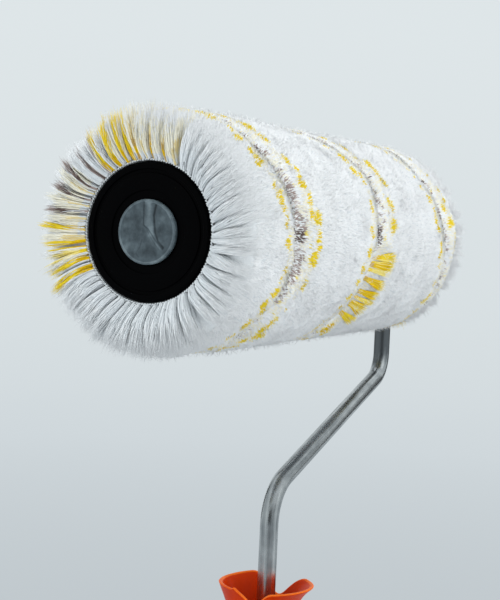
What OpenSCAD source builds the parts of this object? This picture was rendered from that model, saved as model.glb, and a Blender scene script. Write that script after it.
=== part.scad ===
// Paint roller: a deep-pile cover that turns on a bent 8 mm steel rod, with a bell-mouthed handle.
// Millimetres. +Z is up the handle, X runs along the cover's axis with the plugged end at -X,
// and the origin is the centre of the pole socket's mouth.

/* [Cover] */
// Length over the two end caps' faces
cover_len = 229.2; // [180:0.1:260]
// Outer diameter over the tips of the pile
pile_d = 90; // [74:1:100]
// Diameter of the end caps, flush with the fabric's backing
cap_d = 50; // [48:0.5:52]
// How far the pile bulges past the cap's flange at each end
pile_bulge = 8.7; // [4:0.1:12]
// Diameter of the round plug in the near cap
plug_d = 23.2; // [22.6:0.1:23.6]

/* [Rod] */
// Diameter of the steel rod
rod_d = 8; // [7:0.1:8.4]
// Distance of the side arm from the middle of the cover
arm_x = 129.2; // [128:0.1:140]
// Drop from the axle to the side arm's lower corner
arm_drop = 68.6; // [62:0.1:90]
// Drop from the axle to the corner above the handle
shank_drop = 110.8; // [100:0.1:130]
// Bend radius at the axle and at the side arm, to the rod's centre line
arm_bend_r = 14; // [11:0.5:14]
// Bend radius above the handle, to the rod's centre line
shank_bend_r = 20; // [12:0.5:24]

/* [Handle] */
// Height of the bell's rim above the socket's mouth
handle_h = 130; // [118:1:150]
// Bare rod between the bell's rim and the corner above it
shank_show = 39.2; // [30:0.1:60]
// Radius of the bell's rim
bell_r = 21.3; // [18:0.1:24]
// Radius of the grip's belly
belly_r = 16.2; // [15:0.1:18]
// Radius of the socket for an extension pole
socket_r = 10; // [9:0.5:10.5]
// Depth of the socket for an extension pole
socket_depth = 42; // [36:1:42]

/* [Hidden] */
$fn = 96;

// Heights
corner_z = handle_h + shank_show;
axle_z = corner_z + shank_drop;

// Cover: radii, then depths inward from a cap's face
half_len = cover_len / 2;
cap_r = cap_d / 2;
core_r = cap_r - 1;
core_wall = 2;
spigot_r = core_r - core_wall;
pile_r = pile_d / 2;
flange_t = 3;
web_t = 3.4;
recess_r = plug_d / 2 + 0.3;
recess_t = 1.6;
hub_seat_r = 10.6;
hub_floor = 7.1;
hub_wall = 1.5;
bush_r = 6.5;
bush_flange_r = 8.5;
bush_flange_t = 1.5;
bush_len = 14;
spigot_len = 15;
end_float = 0.2;
running_gap = 0.06;

// Rod: washers and stops lie between these depths from a cap's face
rod_r = rod_d / 2;
washer_r = 7.5;
washer_t = 0.9;
washer_depth = hub_floor - bush_flange_t - end_float - washer_t;
nut_t = 0.8;
nut_depth = washer_depth - nut_t;
nut_teeth = 6;
rod_tip_depth = nut_depth - 1.3;
stop_t = 4;
tip_chamfer = 0.8;
leg_lap = 0.3;
bend_inset = 0.02;
plug_proud = 0.65;

// Handle: heights above the socket's mouth
insert_flange_t = 3;
insert_h = 46;
insert_r = socket_r + 2.2;
shell_wall = 2.2;
tail_r = insert_r + shell_wall;
neck_z = handle_h - 22;
neck_r = 12.9;
belly_z = 76;
core_top = handle_h - 26;
rod_end_z = 56;
core_hub_r = 7.5;
core_ribs = 6;
ear_w = 11;
ear_t = 5;
ear_h = 8;

// The rod's corners in the XZ plane, each with its bend radius
corners = [[-half_len + rod_tip_depth + tip_chamfer, axle_z], [arm_x, axle_z],
    [arm_x, axle_z - arm_drop], [0, corner_z], [0, rod_end_z]];
bend_r = [0, arm_bend_r, arm_bend_r, shank_bend_r, 0];

// Direction of leg i, signed turn at corner i, and the length that its bend takes from each leg
function leg_dir(i) = atan2(corners[i + 1][1] - corners[i][1], corners[i + 1][0] - corners[i][0]);
function wrap(a) = a > 180 ? a - 360 : (a < -180 ? a + 360 : a);
function turn(i) = wrap(leg_dir(i) - leg_dir(i - 1));
function cut_back(i) = bend_r[i] == 0 ? 0 : bend_r[i] * tan(abs(turn(i)) / 2);

// Radius eased from r0 to r1 as z goes from z0 to z1
function ease(z, z0, z1, r0, r1) = r0 + (r1 - r0) * (1 - cos(180 * (z - z0) / (z1 - z0))) / 2;

// Outer radius of the handle's shell at height z
function shell_r(z) =
    z <= insert_h ? tail_r :
    z <= belly_z ? ease(z, insert_h, belly_z, tail_r, belly_r) :
    z <= neck_z ? ease(z, belly_z, neck_z, belly_r, neck_r) :
    neck_r + (bell_r - neck_r) * pow((z - neck_z) / (handle_h - neck_z), 2.2);

function shell_side(z0, z1, steps, inset) =
    [for (i = [0 : steps]) let (z = z0 + (z1 - z0) * i / steps) [shell_r(z) - inset, z]];

// A ring from r0 to r1 and from z0 to z1 about the Z axis
module ring(r0, r1, z0, z1) {
    translate([0, 0, z0]) difference() {
        cylinder(r = r1, h = z1 - z0);
        translate([0, 0, -1]) cylinder(r = r0, h = z1 - z0 + 2);
    }
}

// Places children so that their +Z runs inward from a cap's face along the axle
module at_near() {
    translate([-half_len, 0, axle_z]) rotate([0, 90, 0]) children();
}

module at_far() {
    mirror([1, 0, 0]) at_near() children();
}

// A bend that starts at the origin along +Z and turns by angle, towards +X or, if negative, -X.
// It is a hair thinner than the straight legs, which lap a little into it.
module rod_bend(radius, angle) {
    away = angle > 0 ? 1 : 0;
    mirror([1 - away, 0, 0]) translate([radius, 0, 0]) mirror([1, 0, 0]) rotate([90, 0, 0])
        rotate_extrude(angle = abs(angle)) translate([radius, 0]) circle(r = rod_r - bend_inset);
}

// Carries children to the end of that bend
module past_bend(radius, angle) {
    side = angle > 0 ? radius : -radius;
    translate([side, 0, 0]) rotate([0, angle, 0]) translate([-side, 0, 0]) children();
}

// The rod from leg i to its lower end, along +Z
module rod_from(i) {
    length = norm(corners[i + 1] - corners[i]) - cut_back(i) - cut_back(i + 1);
    lap = i == 0 ? 0 : leg_lap;
    translate([0, 0, -lap]) cylinder(r = rod_r, h = length + lap + leg_lap);
    if (i < len(corners) - 2) translate([0, 0, length]) {
        rod_bend(bend_r[i + 1], -turn(i + 1));
        past_bend(bend_r[i + 1], -turn(i + 1)) rod_from(i + 1);
    }
}

// Zinc-plated steel rod: axle, two side bends, slanted arm and shank, with pinched ears in the handle
module frame_rod() {
    color([0.66, 0.68, 0.7]) union() {
        translate([corners[0][0], 0, axle_z]) rotate([0, 90, 0]) rod_from(0);
        at_near() translate([0, 0, rod_tip_depth])
            cylinder(r1 = rod_r - tip_chamfer, r2 = rod_r, h = tip_chamfer);
        translate([-ear_w / 2, -ear_t / 2, rod_end_z + 4]) cube([ear_w, ear_t, ear_h]);
    }
}

// Steel ring pressed on the axle inside the far cap's recess
module stop_ring() {
    color([0.6, 0.62, 0.64])
        at_far() ring(rod_r, washer_r, washer_depth - stop_t, washer_depth);
}

module thrust_washer() {
    ring(rod_r + running_gap, washer_r, washer_depth, washer_depth + washer_t);
}

module far_thrust_washer() {
    color([0.9, 0.9, 0.86]) at_far() thrust_washer();
}

module near_thrust_washer() {
    color([0.9, 0.9, 0.86]) at_near() thrust_washer();
}

// Push-on star nut that keeps the cover on the axle
module push_nut() {
    slot_w = 1.2;
    slot_r = rod_r + 2;
    color([0.42, 0.42, 0.45]) at_near() difference() {
        ring(rod_r, washer_r, nut_depth, washer_depth);
        for (i = [0 : nut_teeth - 1])
            rotate([0, 0, 360 * i / nut_teeth]) translate([0, -slot_w / 2, nut_depth - 1])
                cube([slot_r, slot_w, nut_t + 2]);
    }
}

// A smooth valley in the bell's rim at angle about Z: half_w wide to each side, and depth deep
module rim_valley(angle, half_w, depth) {
    steps = 16;
    above = 4;
    valley = [for (i = [0 : steps]) let (u = -half_w + 2 * half_w * i / steps)
        [u, handle_h - depth * (1 + cos(180 * u / half_w)) / 2]];
    outline = concat([[-half_w, handle_h + above]], valley, [[half_w, handle_h + above]]);
    rotate([0, 0, angle]) translate([5, 0, 0]) rotate([90, 0, 90])
        linear_extrude(height = bell_r + 10) polygon(outline);
}

// Orange plastic grip: hollow, with a bell mouth whose rim dips where the rod's plane crosses it
module handle_shell() {
    bell_wall = 1.8;
    outer = shell_side(insert_h, handle_h, 28, 0);
    inner = shell_side(insert_h, neck_z, 12, shell_wall);
    bell = shell_side(neck_z + 2, handle_h, 10, bell_wall);
    n_in = len(inner) - 1;
    n_bell = len(bell) - 1;
    profile = concat([[tail_r, insert_flange_t]], outer,
        [for (i = [0 : n_bell]) bell[n_bell - i]], [for (i = [0 : n_in]) inner[n_in - i]],
        [[insert_r, insert_flange_t]]);
    color([0.83, 0.27, 0.09]) difference() {
        rotate_extrude() polygon(profile);
        rim_valley(3, 14, 8.7);
        rim_valley(187, 9, 6);
    }
}

// Ribbed inner core, which grips the rod and its ears
module handle_core() {
    rib_t = 2;
    top_t = 2;
    inner = shell_side(insert_h, core_top, 14, shell_wall);
    color([0.2, 0.2, 0.21]) difference() {
        union() {
            translate([0, 0, insert_h]) cylinder(r = core_hub_r, h = core_top - insert_h);
            intersection() {
                rotate_extrude() polygon(concat([[0, insert_h]], inner, [[0, core_top]]));
                union() {
                    for (i = [0 : core_ribs - 1]) rotate([0, 0, 360 * i / core_ribs])
                        translate([0, -rib_t / 2, insert_h])
                            cube([belly_r + 2, rib_t, core_top - insert_h]);
                    translate([0, 0, core_top - top_t]) cylinder(r = belly_r + 2, h = top_t);
                }
            }
        }
        translate([0, 0, rod_end_z]) cylinder(r = rod_r, h = core_top);
        translate([-ear_w / 2, -ear_t / 2, rod_end_z + 4]) cube([ear_w, ear_t, ear_h]);
    }
}

// Dark plastic insert in the handle's tail, with the socket for an extension pole
module pole_socket_insert() {
    color([0.15, 0.15, 0.16]) difference() {
        union() {
            cylinder(r = tail_r + 1.4, h = insert_flange_t);
            cylinder(r = insert_r, h = insert_h);
        }
        translate([0, 0, -1]) cylinder(r = socket_r, h = socket_depth + 1);
    }
}

// Plastic tube that carries the fabric
module core_tube() {
    color([0.86, 0.87, 0.85]) at_near() ring(spigot_r, core_r, flange_t, cover_len - flange_t);
}

// Knitted ground of the pile, glued round the tube
module fabric_backing() {
    color([0.9, 0.89, 0.84]) at_near() ring(core_r, cap_r, flange_t, cover_len - flange_t);
}

// Deep pile as a plain ring with bulging ends
module pile() {
    mid_r = (cap_r + pile_r) / 2;
    half_h = (pile_r - cap_r) / 2;
    near_end = [for (a = [0 : 15 : 180]) [mid_r - half_h * cos(a), flange_t - pile_bulge * sin(a)]];
    far_end = [for (a = [180 : -15 : 0])
        [mid_r - half_h * cos(a), cover_len - flange_t + pile_bulge * sin(a)]];
    color([0.93, 0.93, 0.91]) at_near() rotate_extrude() polygon(concat(near_end, far_end));
}

// Black moulded cap: stepped face, spigot in the tube, and a hub for the bush
module end_cap() {
    ring_r = [14.8, 21, 22.3];
    dish = 0.25;
    step = 0.9;
    edge = 0.5;
    spigot_wall = 2;
    hub_r = hub_seat_r + 2;
    sleeve_r = bush_r + 3;
    hub_back = hub_floor + hub_wall;
    rib_n = 6;
    rib_t = 1.5;
    profile = [[recess_r, step], [ring_r[0], step], [ring_r[0], dish], [ring_r[1], dish],
        [ring_r[1], step], [ring_r[2], step], [ring_r[2], 0], [cap_r - edge, 0], [cap_r, edge],
        [cap_r, flange_t], [spigot_r, flange_t], [spigot_r, spigot_len],
        [spigot_r - spigot_wall, spigot_len], [spigot_r - spigot_wall, web_t], [hub_r, web_t],
        [hub_r, hub_back], [sleeve_r, hub_back], [sleeve_r, hub_floor + bush_len],
        [bush_r, hub_floor + bush_len], [bush_r, hub_floor], [hub_seat_r, hub_floor],
        [hub_seat_r, recess_t], [recess_r, recess_t]];
    rotate_extrude() polygon(profile);
    for (i = [0 : rib_n - 1]) rotate([0, 0, 360 * i / rib_n])
        translate([hub_r - 0.3, -rib_t / 2, web_t - 0.2])
            cube([spigot_r - spigot_wall - hub_r + 0.6, rib_t, hub_back - web_t]);
}

module near_end_cap() {
    color([0.1, 0.1, 0.12]) at_near() end_cap();
}

module far_end_cap() {
    color([0.1, 0.1, 0.12]) at_far() end_cap();
}

// Flanged plastic bush, which turns with the cover on the steel axle
module bush() {
    bore_r = rod_r + running_gap;
    ring(bore_r, bush_r, hub_floor, hub_floor + bush_len);
    ring(bore_r, bush_flange_r, hub_floor - bush_flange_t, hub_floor);
}

module near_bush() {
    color([0.88, 0.88, 0.84]) at_near() bush();
}

module far_bush() {
    color([0.88, 0.88, 0.84]) at_far() bush();
}

// Grey plug that closes the near cap's recess over the nut
module near_cap_plug() {
    plug_r = plug_d / 2;
    skirt_wall = 1.2;
    skirt_depth = 4.8;
    edge = 0.5;
    back = recess_t;
    color([0.4, 0.46, 0.48]) at_near() rotate_extrude() polygon([[0, -plug_proud],
        [plug_r - edge, -plug_proud], [plug_r, edge - plug_proud], [plug_r, back],
        [hub_seat_r, back], [hub_seat_r, skirt_depth], [hub_seat_r - skirt_wall, skirt_depth],
        [hub_seat_r - skirt_wall, back], [0, back]]);
}

frame_rod();
stop_ring();
far_thrust_washer();
near_thrust_washer();
push_nut();
handle_shell();
handle_core();
pole_socket_insert();
core_tube();
fabric_backing();
pile();
near_end_cap();
far_end_cap();
near_bush();
far_bush();
near_cap_plug();
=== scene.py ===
"""Looks of a deep-pile paint roller on a bent zinc rod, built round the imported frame.

Lengths in this file are millimetres until they reach a mesh, which is in metres.
A point of the cover is given by its place along the axle, its angle about it and its radius.
Angle 0 is at -Y, 90 is at the top and 180 is at +Y.
"""
import math

import bpy
import numpy as np
from mathutils import Matrix, Vector


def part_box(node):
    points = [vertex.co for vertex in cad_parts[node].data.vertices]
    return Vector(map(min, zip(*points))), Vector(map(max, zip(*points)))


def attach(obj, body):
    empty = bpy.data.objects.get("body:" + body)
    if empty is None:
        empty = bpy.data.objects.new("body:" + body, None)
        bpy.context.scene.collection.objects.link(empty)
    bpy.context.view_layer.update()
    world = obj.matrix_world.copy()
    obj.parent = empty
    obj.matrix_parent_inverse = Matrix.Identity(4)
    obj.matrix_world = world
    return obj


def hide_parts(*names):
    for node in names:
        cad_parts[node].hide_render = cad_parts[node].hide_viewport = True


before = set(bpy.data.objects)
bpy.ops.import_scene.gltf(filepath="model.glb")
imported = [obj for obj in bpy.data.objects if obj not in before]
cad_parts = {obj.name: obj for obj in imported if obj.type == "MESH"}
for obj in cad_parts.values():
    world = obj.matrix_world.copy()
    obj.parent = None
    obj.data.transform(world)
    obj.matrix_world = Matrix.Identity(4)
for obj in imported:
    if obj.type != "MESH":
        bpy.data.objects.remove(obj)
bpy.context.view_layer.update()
rng = np.random.default_rng(7)

MM = 0.001

# The cover, from the CAD nodes' own boxes
pile_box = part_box("pile")
cap_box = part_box("near_end_cap")
plug_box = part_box("near_cap_plug")
shell_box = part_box("handle_shell")
AXLE_Z = (pile_box[0].z + pile_box[1].z) / 2 / MM
PILE_R = (pile_box[1].z - pile_box[0].z) / 2 / MM
CAP_R = (cap_box[1].z - cap_box[0].z) / 2 / MM
CAP_FACE = -cap_box[0].x / MM
PLUG_R = (plug_box[1].z - plug_box[0].z) / 2 / MM
PLUG_FACE = -plug_box[0].x / MM
RIM_Z = shell_box[1].z / MM
# The cover's fabric ends behind the caps' flanges, and its pile swells past them
FLANGE = 3.0
SHOULDER = CAP_FACE - FLANGE
BULGE = pile_box[1].x / MM - SHOULDER


# ---- helpers

def smooth(x):
    """Eased step of x between 0 and 1."""
    t = np.clip(x, 0.0, 1.0)
    return t * t * (3 - 2 * t)


def wrap(angle):
    """Angle brought between -pi and pi."""
    return (angle + math.pi) % (2 * math.pi) - math.pi


CELLS = 32
LATTICES = [np.random.default_rng(100 + i).random((CELLS, CELLS, CELLS)) for i in range(6)]
# The lattice is turned off the axes, so that its cells don't line up with the object
TURNS = [Matrix.Rotation(turn, 3, axis) for turn, axis in ((0.9, "X"), (0.7, "Y"), (0.5, "Z"))]
SKEW = np.array(TURNS[0] @ TURNS[1] @ TURNS[2])


def noise3(points, scale, which=0):
    """Smooth value noise from -1 to 1 of points (n, 3), with features about scale across."""
    p = points @ SKEW / scale + 57.3
    cell = np.floor(p).astype(int)
    f = p - cell
    f = f * f * (3 - 2 * f)
    total = 0.0
    for corner in np.ndindex(2, 2, 2):
        x, y, z = ((cell + corner) % CELLS).T
        share = np.where(corner, f, 1 - f)
        total = total + LATTICES[which][x, y, z] * (share[:, 0] * share[:, 1] * share[:, 2])
    return total * 2 - 1


def on_cover(along, angle, radius):
    """Row-frame millimetres of points of the cover; angle in radians."""
    along, angle, radius = np.broadcast_arrays(along, angle, radius)
    return np.stack([along, -radius * np.cos(angle), AXLE_Z + radius * np.sin(angle)], axis=-1)


def make_mesh(name, verts_mm, loops, starts, materials, face_slots=None, normals=None):
    """A mesh object from vertex millimetres, a flat loop list and each face's first loop."""
    mesh = bpy.data.meshes.new(name)
    verts = np.asarray(verts_mm, np.float32) * MM
    mesh.vertices.add(len(verts))
    mesh.vertices.foreach_set("co", verts.ravel())
    mesh.loops.add(len(loops))
    mesh.loops.foreach_set("vertex_index", np.asarray(loops, np.int32))
    mesh.polygons.add(len(starts))
    mesh.polygons.foreach_set("loop_start", np.asarray(starts, np.int32))
    if face_slots is not None:
        mesh.polygons.foreach_set("material_index", np.asarray(face_slots, np.int32))
    mesh.polygons.foreach_set("use_smooth", np.full(len(starts), True))
    for material in materials:
        mesh.materials.append(material)
    mesh.update(calc_edges=True)
    mesh.validate()
    if normals is not None:
        mesh.normals_split_custom_set_from_vertices(normals)
    obj = bpy.data.objects.new(name, mesh)
    bpy.context.scene.collection.objects.link(obj)
    return obj


def grid_mesh(name, points, materials, close_u=False, close_v=False, caps=(), flip=False):
    """A mesh from a grid of points (nu, nv, 3); caps names the u ends closed by a fan."""
    nu, nv = points.shape[:2]
    verts = points.reshape(-1, 3)
    i = np.arange(nu if close_u else nu - 1)
    j = np.arange(nv if close_v else nv - 1)
    i, j = [a.ravel() for a in np.meshgrid(i, j, indexing="ij")]
    i2, j2 = (i + 1) % nu, (j + 1) % nv
    quads = np.stack([i * nv + j, i2 * nv + j, i2 * nv + j2, i * nv + j2], axis=1)
    faces = [quads.ravel()]
    starts = [np.arange(len(quads)) * 4]
    used = len(quads) * 4
    for end in caps:
        row = 0 if end == "first" else nu - 1
        centre = len(verts)
        verts = np.vstack([verts, points[row].mean(axis=0)])
        a = row * nv + np.arange(nv)
        b = row * nv + (np.arange(nv) + 1) % nv
        mid = np.full(nv, centre)
        fan = np.stack([a, b, mid] if end == "first" else [b, a, mid], axis=1)
        faces.append(fan.ravel())
        starts.append(used + np.arange(nv) * 3)
        used += nv * 3
    loops = np.concatenate(faces)
    starts = np.concatenate(starts)
    obj = make_mesh(name, verts, loops, starts, materials)
    if flip:
        obj.data.flip_normals()
    return obj


def strand_mesh(name, paths, radii, looks, facing, share):
    """Tapered three-sided strands. paths (n, k, 3), radii (k - 1) or (n, k - 1), looks (n).

    facing (n, k, 3) is the pile's own outward direction at each point; shading takes that share of it,
    so that a mass of strands reads as one soft surface.
    """
    n, k = paths.shape[:2]
    radii = np.broadcast_to(radii, (n, k - 1))
    tangent = np.gradient(paths, axis=1)
    tangent /= np.linalg.norm(tangent, axis=2, keepdims=True) + 1e-9
    twist = rng.normal(size=(n, 3))
    side = np.cross(tangent, twist[:, None, :])
    side /= np.linalg.norm(side, axis=2, keepdims=True) + 1e-9
    other = np.cross(tangent, side)
    rings, shades = [], []
    for corner in range(3):
        turn = 2 * math.pi * corner / 3
        ring = side[:, :-1] * math.cos(turn) + other[:, :-1] * math.sin(turn)
        rings.append(paths[:, :-1] + ring * radii[:, :, None])
        shades.append(facing[:, :-1] * share + ring * (1 - share))
    rings = np.stack(rings, axis=2).reshape(n, (k - 1) * 3, 3)
    shades = np.stack(shades, axis=2).reshape(n, (k - 1) * 3, 3)
    verts = np.concatenate([rings, paths[:, -1:]], axis=1)
    shades = np.concatenate([shades, facing[:, -1:]], axis=1).reshape(-1, 3)
    shades /= np.linalg.norm(shades, axis=1, keepdims=True) + 1e-9
    per = verts.shape[1]
    sides = ((0, 1), (1, 2), (2, 0))
    faces, levels = [[0, 2, 1]], [0]
    for level in range(k - 2):
        for a, b in sides:
            faces.append([level * 3 + a, level * 3 + b, level * 3 + b + 3, level * 3 + a + 3])
            levels.append(level)
    for a, b in sides:
        faces.append([(k - 2) * 3 + a, (k - 2) * 3 + b, per - 1])
        levels.append(k - 2)
    sizes = [len(face) for face in faces]
    flat = np.array([v for face in faces for v in face])
    loops = (flat[None, :] + per * np.arange(n)[:, None]).ravel()
    first = np.concatenate([[0], np.cumsum(sizes)[:-1]])
    starts = (first[None, :] + len(flat) * np.arange(n)[:, None]).ravel()
    face_slots = fade_slots(looks, k)[:, levels].ravel()
    return make_mesh(name, verts.reshape(-1, 3), loops, starts, yarns, face_slots, shades)


# ---- materials

class Look:
    """A Principled material, with short calls that add its nodes."""

    def __init__(self, name, color, roughness, metallic=0.0, specular=0.5):
        self.material = bpy.data.materials.new(name)
        self.material.use_nodes = True
        self.tree = self.material.node_tree
        self.shader = self.tree.nodes["Principled BSDF"]
        self.shader.inputs["Base Color"].default_value = (*color, 1)
        self.shader.inputs["Roughness"].default_value = roughness
        self.shader.inputs["Metallic"].default_value = metallic
        self.shader.inputs["Specular IOR Level"].default_value = specular

    def put(self, socket, value):
        """Sets a socket to a value, or links it to another node's output."""
        if isinstance(value, bpy.types.NodeSocket):
            self.tree.links.new(value, socket)
        else:
            socket.default_value = value

    def node(self, kind, **inputs):
        """A new node; inputs are named sockets, with underscores for spaces."""
        made = self.tree.nodes.new(kind)
        for name, value in inputs.items():
            self.put(made.inputs[name.replace("_", " ")], value)
        return made

    def feed(self, socket, source):
        """Links a node's output to the shader."""
        self.tree.links.new(source, self.shader.inputs[socket])

    def coords(self, offset=(0, 0, 0), scale=(1, 1, 1)):
        """Object coordinates in metres, moved by offset and scaled."""
        place = self.node("ShaderNodeTexCoord").outputs["Object"]
        return self.node("ShaderNodeMapping", Vector=place, Location=offset, Scale=scale).outputs["Vector"]

    def parts(self, vector):
        """The X, Y and Z outputs of a vector."""
        return self.node("ShaderNodeSeparateXYZ", Vector=vector).outputs

    def attribute(self, name, output="Fac"):
        made = self.node("ShaderNodeAttribute")
        made.attribute_name = name
        return made.outputs[output]

    def noise(self, vector, scale, detail=4.0, roughness=0.55):
        made = self.node("ShaderNodeTexNoise", Vector=vector, Scale=scale, Detail=detail,
                         Roughness=roughness)
        return made.outputs["Fac"]

    def ramp(self, value, stops):
        """Colour ramp; stops are (position, (r, g, b))."""
        made = self.node("ShaderNodeValToRGB", Fac=value)
        elements = made.color_ramp.elements
        while len(elements) < len(stops):
            elements.new(0.5)
        for element, (position, color) in zip(elements, stops):
            element.position = position
            element.color = (*color, 1)
        return made.outputs["Color"]

    def spread(self, value, low, high, to_low, to_high):
        """A value from low to high, brought between to_low and to_high."""
        made = self.node("ShaderNodeMapRange", Value=value, From_Min=low, From_Max=high, To_Min=to_low,
                         To_Max=to_high)
        return made.outputs["Result"]

    def bump(self, height, strength, distance):
        made = self.node("ShaderNodeBump", Height=height, Strength=strength, Distance=distance)
        self.feed("Normal", made.outputs["Normal"])

    def calc(self, operation, *values):
        made = self.tree.nodes.new("ShaderNodeMath")
        made.operation = operation
        for socket, value in zip(made.inputs, values):
            self.put(socket, value)
        return made.outputs["Value"]

    def times(self, value, factor):
        return self.calc("MULTIPLY", value, factor)

    def length(self, a, b):
        """Length of the vector with parts a and b."""
        return self.calc("SQRT", self.calc("ADD", self.calc("POWER", a, 2), self.calc("POWER", b, 2)))


def mottled(name, low, high, scale, roughness, bump, bump_scale=600.0):
    """Moulded or knitted stuff whose colour drifts between low and high."""
    look = Look(name, high, roughness)
    coords = look.coords()
    drift = look.noise(coords, scale)
    look.feed("Base Color", look.ramp(drift, [(0.3, low), (0.7, high)]))
    look.feed("Roughness", look.spread(drift, 0.3, 0.7, roughness - 0.06, roughness + 0.06))
    look.bump(look.noise(coords, bump_scale, 2.0), bump, 0.0002)
    return look.material


def black_plastic():
    """Satin black moulding with faint turned rings and a little dust."""
    look = Look("black_plastic", (0.0003, 0.0003, 0.0005), 0.36, specular=0.03)
    coords = look.coords(offset=(0, 0, -AXLE_Z * MM))
    place = look.parts(coords)
    rings = look.calc("SINE", look.times(look.length(place["Y"], place["Z"]), 14000.0))
    dust = look.noise(coords, 2600.0, 2.0, 0.7)
    stops = [(0.6, (0.0002, 0.0002, 0.0004)), (0.9, (0.002, 0.002, 0.0025))]
    look.feed("Base Color", look.ramp(dust, stops))
    look.feed("Roughness", look.spread(look.noise(coords, 90.0, 5.0), 0.3, 0.7, 0.28, 0.42))
    look.bump(look.calc("ADD", look.times(rings, 0.25), dust), 0.12, 0.00008)
    return look.material


def grey_plastic():
    """Dull blue-grey flashing over the nut, cloudy where it was moulded, with painted light and shade on the
    plug's raised and sunken parts.
    """
    look = Look("grey_plastic", (0.16, 0.2, 0.225), 0.42, specular=0.3)
    coords = look.coords(offset=(0, 0, -AXLE_Z * MM))
    cloud = look.noise(coords, 170.0, 5.0, 0.6)
    # Painted light and shade: the plug's raised parts lighter, its creases and dents darker
    both = look.calc("ADD", look.times(cloud, 1.3), look.attribute("painted_relief_shading"))
    both = look.calc("SUBTRACT", both, 0.43)
    stops = [(0.3, (0.012, 0.018, 0.022)), (0.55, (0.04, 0.056, 0.066)), (0.75, (0.07, 0.094, 0.108)),
             (1.0, (0.15, 0.19, 0.21))]
    look.feed("Base Color", look.ramp(both, stops))
    look.feed("Roughness", look.spread(cloud, 0.3, 0.7, 0.36, 0.52))
    look.bump(look.noise(coords, 900.0, 4.0), 0.25, 0.0001)
    return look.material


def zinc_steel():
    """Drawn wire with bright zinc: streaks along the wire, faint spangle, and painted shade on its first
    stretch, through the cover and down the top of the arm.
    """
    look = Look("zinc_steel", (0.55, 0.57, 0.59), 0.3, 1.0)
    wire = look.attribute("wire_space", "Vector")
    stretched = look.node("ShaderNodeMapping", Vector=wire, Scale=(1, 1, 0.035)).outputs["Vector"]
    streaks = look.noise(stretched, 700.0, 3.0)
    bands = look.noise(stretched, 300.0, 2.0, 0.5)
    spangle = look.noise(wire, 150.0, 3.0)
    mix = look.calc("ADD", look.times(streaks, 0.3), look.times(spangle, 0.2))
    mix = look.calc("ADD", mix, look.times(bands, 0.5))
    # Painted shade: the stretch through the cover and down the top of the arm is darker
    mix = look.calc("SUBTRACT", mix, look.spread(look.parts(wire)["Z"], 0.292, 0.31, 0.2, 0.0))
    stops = [(0.36, (0.13, 0.142, 0.15)), (0.47, (0.32, 0.34, 0.35)), (0.56, (0.52, 0.54, 0.545)),
             (0.68, (0.8, 0.8, 0.79))]
    look.feed("Base Color", look.ramp(mix, stops))
    look.feed("Roughness", look.spread(mix, 0.35, 0.65, 0.36, 0.2))
    look.bump(streaks, 0.12, 0.0001)
    return look.material


def plain_steel(name, low, high, roughness):
    """Bare steel of a small inner part, with a fine grain."""
    look = Look(name, high, roughness, 1.0)
    grain = look.noise(look.coords(), 700.0, 3.0)
    look.feed("Base Color", look.ramp(grain, [(0.35, low), (0.65, high)]))
    look.feed("Roughness", look.spread(grain, 0.3, 0.7, roughness - 0.08, roughness + 0.08))
    look.bump(grain, 0.15, 0.0001)
    return look.material


def orange_plastic():
    """Polypropylene grip: even colour, a painted highlight that makes the bell's lip paler, soft gloss and
    fine scuffs.
    """
    look = Look("orange_plastic", (0.58, 0.034, 0.0), 0.34, specular=0.05)
    stops = [(0.3, (0.5, 0.026, 0.0)), (0.5, (0.57, 0.034, 0.0)), (0.72, (0.64, 0.044, 0.0005)),
             (1.0, (0.8, 0.15, 0.015))]
    # The lip's painted highlight: its rows push the colour towards the pale top stop
    flow = look.calc("ADD", look.noise(look.coords(), 60.0, 5.0), look.attribute("lip"))
    look.feed("Base Color", look.ramp(flow, stops))
    scuff = look.noise(look.coords(scale=(1, 1, 0.2)), 1400.0, 3.0)
    look.feed("Roughness", look.spread(scuff, 0.3, 0.7, 0.28, 0.42))
    look.bump(scuff, 0.1, 0.0001)
    return look.material


def pile_ground():
    """The mass of pile below the tips, with the coloured yarn and painted shade showing through."""
    look = Look("pile_ground", GROUND_SHADED_WHITE, 0.95, specular=0.1)
    look.feed("Base Color", look.attribute("yarn", "Color"))
    look.bump(look.noise(look.coords(), 700.0, 3.0), 0.6, 0.0006)
    return look.material


# Colours of the mass of pile: its white, darkened as painted shade in the gaps between the tips, the
# stripe's two tints, and the painted shade beside the cap
GROUND_SHADED_WHITE = (0.77, 0.79, 0.8)
GROUND_CREAM = (0.74, 0.68, 0.5)
GROUND_BROWN = (0.34, 0.28, 0.26)
GROUND_CAP_SHADE = (0.66, 0.695, 0.72)

YARN_COLORS = {
    "white": (0.93, 0.94, 0.945),
    "soft_white": (0.9, 0.915, 0.925),
    # A greyer white: tone at random on the side, painted shade at strand roots and over the end faces
    "shade": (0.8, 0.83, 0.85),
    "cream": (0.92, 0.885, 0.75),
    "straw": (0.86, 0.72, 0.38),
    "pale_yellow": (0.93, 0.78, 0.24),
    "yellow": (0.92, 0.7, 0.04),
    "deep_yellow": (0.82, 0.55, 0.012),
    "tan": (0.62, 0.42, 0.14),
    # The light grey of the strands' roots: painted shade
    "root_grey": (0.78, 0.81, 0.83),
    "grey_taupe": (0.62, 0.55, 0.52),
    "taupe": (0.38, 0.305, 0.28),
    "dark_taupe": (0.14, 0.1, 0.088),
}
YARN = {name: i for i, name in enumerate(YARN_COLORS)}
yarns = [Look("pile_" + name, color, 0.9, specular=0.1).material for name, color in YARN_COLORS.items()]
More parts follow.
